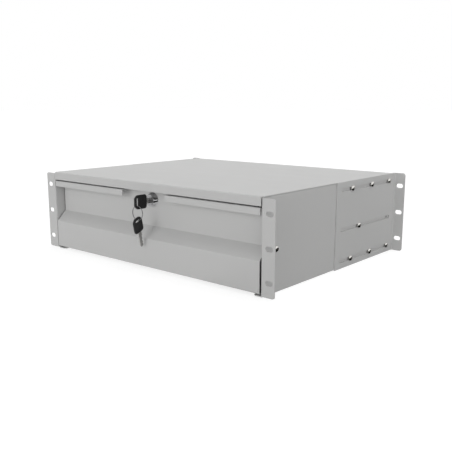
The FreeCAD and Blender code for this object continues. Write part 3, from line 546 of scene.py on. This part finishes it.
def threaded_shank(radius, pitch, end):
    """Helical thread down from the origin, with a blunt cone at its end."""
    root = radius - SCREW_THREAD_DEPTH * pitch
    turns = int(-end / pitch)
    thread = lathe([(root, 0), (radius, -pitch / 2), (root, -pitch)], THREAD_STEPS * turns,
                   TURN * turns, -pitch * turns)
    point = lathe([(root, -pitch * turns), (root * 0.8, end), (0, end)], THREAD_STEPS)
    return [as_mesh(thread), as_mesh(point)]


def recess_bar(radius, depth, top, angle):
    """Cutter for one arm of a cross recess: a bar that narrows downwards."""
    shape = bmesh.new()
    bmesh.ops.create_cone(shape, cap_ends=True, segments=4, radius1=radius * 0.45, radius2=radius,
                          depth=depth * 2, matrix=Matrix.Rotation(math.pi / 4, 4, "Z"))
    bmesh.ops.transform(shape, verts=shape.verts, matrix=Matrix.Translation((0, 0, top)) @
                        Matrix.Rotation(angle, 4, "Z") @ Matrix.Diagonal((1, 0.3, 1, 1)))
    return as_mesh(shape)


def pan_screw(head_radius, height, shank_radius, end, pitch):
    """Pan-head screw with its seat at the origin and its head above: its meshes."""
    profile = [(0, height), (head_radius * 0.42, height * 0.985), (head_radius * 0.68, height * 0.9),
               (head_radius * 0.88, height * 0.7), (head_radius * 0.97, height * 0.42),
               (head_radius, height * 0.2), (head_radius, height * 0.06), (head_radius * 0.97, SEAT_GAP),
               (0, SEAT_GAP)]
    head = as_mesh(lathe(profile, HEAD_STEPS), sharp=0.9)
    for angle in (0, math.pi / 2):
        head = carved(head, recess_bar(head_radius * 0.52, height * 0.62, height, angle))
    return [head] + threaded_shank(shank_radius, pitch, end)


def side_screws(name, node, head_height, shank_radius, pitch):
    """The screws of a node that stand across the case, their heads outside."""
    made = {}
    for low, high in solids_of(node):
        size = high - low
        centre = middle((low, high))
        facing = X_AXIS * math.copysign(1, centre.x)
        length = round(size.x, 5)
        if length not in made:
            screw = pan_screw(size.z / 2, head_height, shank_radius, head_height - size.x, pitch)
            made[length] = (screw, [])
        made[length][1].append(aimed(centre + facing * (size.x / 2 - head_height), facing))
    pairs = [(mesh, places) for meshes, places in made.values() for mesh in meshes]
    piece(name, as_mesh(gathered(pairs), sharp=0.7), node)


def hexagon_nut(across, height, bore, pitch):
    """Nut with a threaded bore, its base at the origin, chamfered where both chamfers fit its height."""
    reach = across / math.sqrt(3)
    body = bmesh.new()
    place = Matrix.Translation((0, 0, height / 2)) @ Matrix.Rotation(math.pi / 2, 4, "Z")
    bmesh.ops.create_cone(body, cap_ends=True, segments=6, radius1=reach, radius2=reach, depth=height,
                          matrix=place)
    nut = as_mesh(body)
    chamfer = across * NUT_CHAMFER
    if 2 * chamfer < height:
        limit = lathe([(0, 0), (across * 0.47, 0), (reach * 1.02, chamfer),
                       (reach * 1.02, height - chamfer), (across * 0.47, height), (0, height)], HEAD_STEPS)
        nut = carved(nut, as_mesh(limit), "INTERSECT")
    turns = int(height / pitch) + 2
    rings = [(bore - (NUT_THREAD_DEPTH * pitch if step % 2 else 0), (step / 2 - 1) * pitch)
             for step in range(2 * turns + 1)]
    tap = lathe([(0, rings[0][1])] + rings + [(0, rings[-1][1])], HEAD_STEPS)
    return carved(nut, as_mesh(tap))


class DRAWER_OT_fasteners(bpy.types.Operator):
    """Make the screws with their threads, the clinched nuts and the rivets"""
    bl_idname = "drawer.fasteners"
    bl_label = "Screws, nuts and rivets"

    def execute(self, context):
        sizes = context.scene.drawer_hardware
        for node in ("bracket_screws", "slide_screws"):
            side_screws(node + "_turned", node, sizes.head_height, sizes.shank_radius, sizes.pitch)
        side_screws("inner_slide_screws_turned", "inner_slide_screws", sizes.inner_head_height,
                    sizes.shank_radius, sizes.pitch)
        nuts = solids_of("clinch_nuts")
        size = nuts[0][1] - nuts[0][0]
        nut = hexagon_nut(size.z, size.x, sizes.shank_radius, sizes.pitch)
        lying = Matrix.Rotation(math.pi / 2, 4, "Y") @ Matrix.Rotation(math.pi / 2, 4, "Z")
        bases = [Matrix.Translation(middle(nut_box) - X_AXIS * size.x / 2) @ lying for nut_box in nuts]
        piece("clinch_nuts_tapped", as_mesh(gathered([(nut, bases)])), "clinch_nuts")
        rivets = solids_of("front_rivets")
        places = [rivet_place(each) for each in rivets]
        piece("front_rivets_set", as_mesh(gathered([(rivet(rivets[0]), places)])), "front_rivets")
        return {"FINISHED"}


def rivet_place(corners):
    """Where a rivet's lowest point goes."""
    centre = middle(corners)
    return Matrix.Translation((centre.x, centre.y, corners[0].z))


def rivet(corners):
    """Rivet with a domed head below and a dimpled countersunk end above."""
    radius, height = (corners[1].x - corners[0].x) / 2, corners[1].z - corners[0].z
    head = height * RIVET_HEAD_SHARE
    profile = [(0, 0), (radius * 0.5, head * 0.06), (radius * 0.82, head * 0.35),
               (radius * 0.98, head * 0.8), (radius, head), (radius / 2, head),
               (radius / 2, height * 0.66), (radius * 0.86, height),
               (radius * 0.34, height), (radius * 0.22, height * 0.93), (0, height * 0.92)]
    return as_mesh(lathe(profile, HEAD_STEPS), sharp=0.9)


class DRAWER_OT_balls(bpy.types.Operator):
    """Make the polished balls of the slides"""
    bl_idname = "drawer.balls"
    bl_label = "Balls"

    def execute(self, context):
        for node in sorted(name for name in NODES if name.endswith("_balls")):
            places = solids_of(node)
            ball = bmesh.new()
            bmesh.ops.create_uvsphere(ball, u_segments=20, v_segments=12, radius=BALL_RADIUS)
            centres = [Matrix.Translation(middle(place)) for place in places]
            piece(node + "_polished", as_mesh(gathered([(as_mesh(ball), centres)]), sharp=3.0), node)
        return {"FINISHED"}


def turned_lock_barrel():
    """Lock housing with its bezel in front of the wall and its flatted thread behind."""
    low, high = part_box("lock_barrel")
    low, high = Vector(low), Vector(high)
    axis = middle((low, high))
    bezel_radius = (high.x - low.x) / 2
    bore = PLUG_RADIUS + PLUG_PLAY
    wall = WALL_PLACE - low.y
    length = high.y - low.y
    profile = [(bore, wall), (bore, BEZEL_LIP), (bore + BEZEL_LIP * 0.4, BEZEL_LIP * 0.35),
               (bore + BEZEL_LIP, 0), (BEZEL_FACE_RADIUS - BEZEL_LIP * 1.4, 0),
               (BEZEL_FACE_RADIUS - BEZEL_LIP * 0.5, BEZEL_LIP * 0.3), (BEZEL_FACE_RADIUS, BEZEL_LIP),
               (bezel_radius - BEZEL_LIP * 0.3, wall - BEZEL_LIP * 1.2),
               (bezel_radius, wall - BEZEL_LIP * 0.7), (bezel_radius, wall), (bore, wall)]
    bezel = as_mesh(lathe(profile, LOCK_STEPS))
    for face in bezel.polygons:
        face.material_index = int(face.center.z < BEZEL_LIP * 0.35)
    turns = int((length - wall) / BARREL_PITCH)
    groove = BARREL_THREAD_DEPTH * BARREL_PITCH
    rings = [(BARREL_RADIUS - (groove if step % 2 else 0), wall + step / 2 * BARREL_PITCH)
             for step in range(2 * turns + 1)]
    closing = [(BARREL_RADIUS - groove, length), (bore, length), (bore, wall)]
    thread = as_mesh(lathe([(bore, wall)] + rings + closing, LOCK_STEPS))
    flats = box_mesh((-BARREL_RADIUS, -BARREL_FLATS / 2, 0), (BARREL_RADIUS, BARREL_FLATS / 2, length * 2))
    thread = carved(thread, flats, "INTERSECT")
    place = aimed((axis.x, low.y, axis.z), Y_AXIS)
    return as_mesh(gathered([(bezel, [place]), (thread, [place])]))


def cut_lock_plug():
    """Turning plug with its keyway and its square end."""
    low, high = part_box("lock_plug")
    low, high = Vector(low), Vector(high)
    axis = middle((low, high))
    blade_low, blade_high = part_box("key_blade")
    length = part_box("lock_cam")[0][1] - low.y
    profile = [(0, 0), (PLUG_RADIUS - BEZEL_LIP, 0), (PLUG_RADIUS, BEZEL_LIP), (PLUG_RADIUS, length),
               (0, length)]
    body = as_mesh(lathe(profile, LOCK_STEPS))
    side = (blade_high[0] - blade_low[0]) / 2 + KEYWAY_PLAY
    half = (blade_high[2] - blade_low[2]) / 2 + KEYWAY_PLAY
    keyway = box_mesh((-side, -half, -0.001), (side, half, blade_high[1] - low.y + KEYWAY_PLAY))
    body = carved(body, keyway)
    spigot = box_mesh((-SPIGOT / 2, -SPIGOT / 2, length), (SPIGOT / 2, SPIGOT / 2, high.y - low.y))
    place = Matrix.Translation((axis.x, low.y, axis.z)) @ Matrix.Rotation(-math.pi / 2, 4, "X")
    return as_mesh(gathered([(body, [place]), (spigot, [place])]))


class DRAWER_OT_lock(bpy.types.Operator):
    """Make the lock: housing, plug, number, nut and cam screw"""
    bl_idname = "drawer.lock"
    bl_label = "Lock"

    def execute(self, context):
        sizes = context.scene.drawer_hardware
        piece("lock_housing", turned_lock_barrel(), "lock_barrel", finishes=("lock_chrome", "lock_face"))
        piece("lock_plug_cut", cut_lock_plug(), "lock_plug")
        number = engraved_number(str(sizes.key_number), DIGIT_HEIGHT)
        piece("lock_number", number, "lock_plug", False, ("engraved_mark",))
        low, high = (Vector(corner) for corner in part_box("lock_nut"))
        nut = hexagon_nut(high.z - low.z, high.y - low.y, BARREL_RADIUS, BARREL_PITCH)
        centre = middle((low, high))
        place = Matrix.Translation((centre.x, high.y, centre.z)) @ Matrix.Rotation(math.pi / 2, 4, "X")
        piece("lock_nut_tapped", as_mesh(gathered([(nut, [place])])), "lock_nut")
        low, high = (Vector(corner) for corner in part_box("cam_screw"))
        centre = middle((low, high))
        parts = pan_screw((high.x - low.x) / 2, CAM_SCREW_HEAD, sizes.shank_radius,
                          CAM_SCREW_HEAD - (high.y - low.y), sizes.pitch)
        seat = aimed((centre.x, high.y - CAM_SCREW_HEAD, centre.z), Y_AXIS)
        screw = as_mesh(gathered([(mesh, [seat]) for mesh in parts]), sharp=0.7)
        piece("cam_screw_turned", screw, "cam_screw")
        return {"FINISHED"}


def engraved_number(digits, height):
    """Digits down the lock's face beside the keyway, as thin marks."""
    low, high = (Vector(corner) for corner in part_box("lock_plug"))
    axis = middle((low, high))
    places = []
    for row, digit in enumerate(digits):
        words = bpy.data.curves.new("digit", "FONT")
        words.body = digit
        words.size = height * FONT_SCALE
        words.extrude = MARK_DEPTH
        words.offset = MARK_WEIGHT
        words.align_x = "CENTER"
        words.align_y = "CENTER"
        holder = bpy.data.objects.new("digit", words)
        bpy.context.scene.collection.objects.link(holder)
        graph = bpy.context.evaluated_depsgraph_get()
        mesh = bpy.data.meshes.new_from_object(holder.evaluated_get(graph))
        bpy.data.objects.remove(holder)
        rise = height * DIGIT_SPACING * ((len(digits) - 1) / 2 - row)
        centre = (axis.x + DIGIT_ASIDE, low.y, axis.z + rise)
        places.append((mesh, [Matrix.Translation(centre) @ Matrix.Rotation(math.pi / 2, 4, "X")]))
    return as_mesh(gathered(places))


class DRAWER_OT_keys(bpy.types.Operator):
    """Make both keys, moulded heads and cut blades, and the split ring"""
    bl_idname = "drawer.keys"
    bl_label = "Keys and ring"

    def execute(self, context):
        sizes = context.scene.drawer_keys
        low, high = (Vector(corner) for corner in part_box("key_head"))
        centre = middle((low, high))
        in_lock = Matrix.Translation((centre.x, low.y, centre.z))
        ring_low, ring_high = (Vector(corner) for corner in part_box("key_ring"))
        wire = (ring_high.y - ring_low.y) / 2
        ring_centre = middle((ring_low, ring_high))
        hook = sizes.slot_place - sizes.slot_width / 2 + sizes.ring_gap + wire
        hung = (Matrix.Translation((ring_centre.x, ring_centre.y, ring_low.z + wire)) @
                Matrix.Rotation(sizes.spare_turn, 4, "Z") @
                Matrix.Rotation(sizes.spare_tilt - math.pi / 2, 4, "X") @
                Matrix.Translation((0, -hook, -sizes.spare_shift)))
        half_size = (high - low) / 2
        blade_low, blade_high = (Vector(corner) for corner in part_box("key_blade"))
        blade_size = Vector((blade_high.x - blade_low.x, blade_high.y - low.y, blade_high.z - blade_low.z))
        for place, prefix in ((in_lock, ""), (hung, "spare_")):
            head = gathered([(key_head(half_size, blade_size, sizes), [place])])
            piece(prefix + "key_head_moulded", as_mesh(head, sharp=0.5), prefix + "key_head")
            blade = gathered([(key_blade(half_size.y * 2, blade_size), [place])])
            piece(prefix + "key_blade_cut", as_mesh(blade, sharp=0.4), prefix + "key_blade")
        mean = (ring_high.z - ring_low.z) / 2 - wire
        ring = split_ring(mean, wire)
        place = Matrix.Translation(ring_centre) @ Matrix.Rotation(math.pi / 2, 4, "X")
        piece("key_ring_coiled", as_mesh(gathered([(ring, [place])]), sharp=1.2), "key_ring")
        return {"FINISHED"}


def flat_plate(outline, thickness, edge):
    """Plate of an outline in the key's plane (along Y and Z), its middle on the plane."""
    shape = prism(outline, -thickness / 2, thickness / 2, edge, 3)
    upright = Matrix(((0, 0, 1, 0), (1, 0, 0, 0), (0, 1, 0, 0), (0, 0, 0, 1)))
    bmesh.ops.transform(shape, verts=shape.verts, matrix=upright)
    return as_mesh(shape, sharp=0.5)


def key_head(half_size, blade_size, sizes):
    """Moulded head with a ring slot and a sunk grip panel on each side."""
    half, length, side = half_size.z, half_size.y * 2, half_size.x
    chamfer, shoulder = sizes.head_chamfer, sizes.head_shoulder
    outline = [(0, chamfer - half), (0, half - chamfer), (chamfer, half), (length - shoulder, half),
               (length, half - shoulder), (length, shoulder - half), (length - shoulder, -half),
               (chamfer, -half)]
    head = flat_plate(rounded(outline, HEAD_CORNER), side * 2, sizes.head_edge)
    reach, slot_half = sizes.slot_length / 2 - sizes.slot_width / 2, sizes.slot_width / 2
    arcs = [(end, start + math.pi * step / SLOT_STEPS)
            for end, start in ((1, 0), (-1, math.pi)) for step in range(SLOT_STEPS + 1)]
    ends = [(sizes.slot_place + math.cos(angle) * slot_half, end * reach + math.sin(angle) * slot_half)
            for end, angle in arcs]
    head = carved(head, flat_plate(ends, side * 4, 0))
    edge = sizes.panel_margin
    front = sizes.slot_place + slot_half + edge
    panel = [(front, edge - half), (front, half - edge), (length - edge - shoulder / 2, half - edge),
             (length - edge, half - edge - shoulder / 2), (length - edge, edge + shoulder / 2 - half),
             (length - edge - shoulder / 2, edge - half)]
    for facing in (-1, 1):
        sunk = flat_plate(rounded(panel, PANEL_CORNER), sizes.panel_depth * 2, sizes.panel_depth * 0.5)
        sunk.transform(Matrix.Translation((facing * side, 0, 0)))
        head = carved(head, sunk)
    pocket = box_mesh((-blade_size.x / 2, length - BLADE_SOCKET, -blade_size.z / 2),
                      (blade_size.x / 2, length + 0.001, blade_size.z / 2))
    return carved(head, pocket)


def key_blade(head_length, size):
    """Blade cut on both edges towards its tip, with a milled groove on each side."""
    half, tip = size.z / 2, size.y
    lower = [(head_length - BLADE_SOCKET, -half), (tip - BLADE_TIP, -half), (tip - 0.0004, -half * 0.35)]
    upper = [(tip, half * 0.1), (tip - 0.002, half * 0.6)]
    for step, depth in enumerate(BITTING):
        place = tip - BLADE_TIP - step * BITTING_PITCH
        upper += [(place, half - depth * 0.25), (place - BITTING_PITCH * 0.35, half - depth),
                  (place - BITTING_PITCH * 0.6, half - depth)]
    end = tip - BLADE_TIP - len(BITTING) * BITTING_PITCH
    upper += [(end, half), (head_length - BLADE_SOCKET, half)]
    blade = flat_plate(lower + upper, size.x, BLADE_EDGE)
    groove = size.x * 0.28
    for facing, height in ((-1, -half * 0.3), (1, half * 0.12)):
        milled = box_mesh((facing * size.x / 2 - groove, head_length + 0.0012, height - half * 0.2),
                          (facing * size.x / 2 + groove, tip + 0.001, height + half * 0.2))
        blade = carved(blade, milled)
    return blade


def split_ring(mean, wire):
    """Two coils of round wire, side by side, with open ends."""
    thin = wire * 0.5
    angles = [TURN * step / WIRE_SIDES for step in range(WIRE_SIDES)]
    section = [(mean + math.cos(angle) * thin * 0.9, math.sin(angle) * thin * 0.95) for angle in angles]
    rise = 2 * (wire - thin)
    coil = lathe(section + section[:1], RING_STEPS, TURN * RING_TURNS, rise)
    bmesh.ops.holes_fill(coil, edges=[edge for edge in coil.edges if edge.is_boundary], sides=12)
    bmesh.ops.translate(coil, verts=coil.verts, vec=(0, 0, -rise / 2))
    return as_mesh(coil, sharp=1.2)


class DRAWER_OT_stage(bpy.types.Operator):
    """Make the floor, the dark card, the soft lamps and the camera"""
    bl_idname = "drawer.stage"
    bl_label = "Stage"

    def execute(self, context):
        studio = context.scene.drawer_studio
        lay_floor(studio)
        lay_card(studio)
        light_world(context.scene, studio)
        hang_lamps(context.scene, studio)
        place_camera(context.scene, studio)
        return {"FINISHED"}


def stage_sheet(name, size, material, place):
    """Flat square of the stage, turned and moved by a matrix."""
    sheet = bmesh.new()
    bmesh.ops.create_grid(sheet, x_segments=1, y_segments=1, size=size / 2)
    bmesh.ops.transform(sheet, verts=sheet.verts, matrix=place)
    mesh = bpy.data.meshes.new(name)
    sheet.to_mesh(mesh)
    sheet.free()
    mesh.materials.append(material)
    made = bpy.data.objects.new(name, mesh)
    bpy.context.scene.collection.objects.link(made)
    return made


def background_rays(tree):
    """One on the rays that see the background: from the camera, a gloss or a clear body."""
    path = shader_node(tree, "LightPath").outputs
    seen = worked(tree, "MAXIMUM", path["Is Camera Ray"], path["Is Glossy Ray"])
    return worked(tree, "MAXIMUM", seen, path["Is Transmission Ray"])


def lay_floor(studio):
    """A wide white floor that shows a little of the drawer's shadow and lets the low lamps pass."""
    material, tree, surface, _ = new_material("floor")
    surface.inputs["Base Color"].default_value = studio.floor
    surface.inputs["Roughness"].default_value = 0.9
    surface.inputs["Specular IOR Level"].default_value = 0.0
    glow = worked(tree, "MULTIPLY", background_rays(tree), studio.floor_white)
    surface.inputs["Emission Color"].default_value = (1, 1, 1, 1)
    feed(tree, surface.inputs["Emission Strength"], glow)
    floor = stage_sheet("floor", FLOOR_SIZE, material, Matrix.Translation((0, 0, CAD_BOX[0].z)))
    floor.visible_shadow = False


def lay_card(studio):
    """Dark card on the floor at the right, which only glossy rays see: bright metal mirrors it."""
    material, _, surface, _ = new_material("card")
    surface.inputs["Base Color"].default_value = studio.card
    surface.inputs["Roughness"].default_value = 1.0
    surface.inputs["Specular IOR Level"].default_value = 0.0
    half = studio.card_size / 2
    centre = (CAD_BOX[1].x / 2 + half, half - studio.card_reach, CAD_BOX[0].z + CARD_LIFT)
    card = stage_sheet("card", studio.card_size, material, Matrix.Translation(centre))
    card.visible_camera = card.visible_diffuse = card.visible_shadow = card.visible_transmission = False


def light_world(scene, studio):
    """Soft light from all round, and white where it is seen itself."""
    world = bpy.data.worlds.new("studio")
    world.use_nodes = True
    tree = world.node_tree
    tree.nodes["Background"].inputs["Color"].default_value = (1, 1, 1, 1)
    lift = worked(tree, "MULTIPLY", background_rays(tree), 1 - studio.sky)
    feed(tree, tree.nodes["Background"].inputs["Strength"], worked(tree, "ADD", lift, studio.sky))
    scene.world = world


def hang_lamps(scene, studio):
    """Broad lamps on every side, strongest overhead and in front; bright metal doesn't mirror them."""
    lamps = (("top_lamp", studio.top_lamp, (0.05, 0.25, 0.95), 60),
             ("front_lamp", studio.front_lamp, (0, -1, 0.1), 50),
             ("low_lamp", studio.low_lamp, (0, -0.5, -0.87), 40),
             ("side_lamp", studio.side_lamp, (1, 0, 0.1), 30),
             ("corner_lamp", studio.corner_lamp, (1, -0.6, 0.1), 40),
             ("left_lamp", studio.fill_lamps, (-1, 0.2, 0), 30),
             ("back_lamp", studio.fill_lamps, (-0.15, 1, 0), 30))
    for name, strength, towards, spread in lamps:
        lamp = bpy.data.lights.new(name, "SUN")
        lamp.energy = strength
        lamp.angle = math.radians(spread)
        holder = bpy.data.objects.new(name, lamp)
        holder.rotation_euler = Vector(towards).to_track_quat("Z", "Y").to_euler()
        holder.visible_glossy = False
        scene.collection.objects.link(holder)


def place_camera(scene, studio):
    """The view of the drawer from its right front."""
    camera = bpy.data.cameras.new("camera")
    camera.lens = studio.lens
    holder = bpy.data.objects.new("camera", camera)
    holder.location = studio.camera_place
    holder.rotation_euler = (math.pi / 2 - studio.camera_pitch, 0, studio.camera_heading)
    scene.collection.objects.link(holder)
    scene.camera = holder
    scene.view_settings.view_transform = "Standard"


class DRAWER_PT_panel(bpy.types.Panel):
    """Pieces of the drawer in the order that they are made"""
    bl_idname = "DRAWER_PT_panel"
    bl_label = "Rack drawer"
    bl_space_type = "VIEW_3D"
    bl_region_type = "UI"
    bl_category = "Drawer"

    def draw(self, context):
        for operator in OPERATORS:
            self.layout.operator(operator.bl_idname)


OPERATORS = (DRAWER_OT_finishes, DRAWER_OT_fasteners, DRAWER_OT_balls, DRAWER_OT_lock, DRAWER_OT_keys,
             DRAWER_OT_stage)
CLASSES = (DrawerFinish, DrawerHardware, DrawerKeys, DrawerStudio, *OPERATORS, DRAWER_PT_panel)
SETTINGS = {"drawer_finish": DrawerFinish, "drawer_hardware": DrawerHardware, "drawer_keys": DrawerKeys,
            "drawer_studio": DrawerStudio}


def register():
    for kind in CLASSES:
        bpy.utils.register_class(kind)
    for name, group in SETTINGS.items():
        setattr(bpy.types.Scene, name, PointerProperty(type=group))


def unregister():
    for name in SETTINGS:
        delattr(bpy.types.Scene, name)
    for kind in reversed(CLASSES):
        bpy.utils.unregister_class(kind)


def main():
    register()
    bpy.ops.drawer.finishes()
    bpy.ops.drawer.fasteners()
    bpy.ops.drawer.balls()
    bpy.ops.drawer.lock()
    bpy.ops.drawer.keys()
    bpy.ops.drawer.stage()


if __name__ == "__main__":
    main()
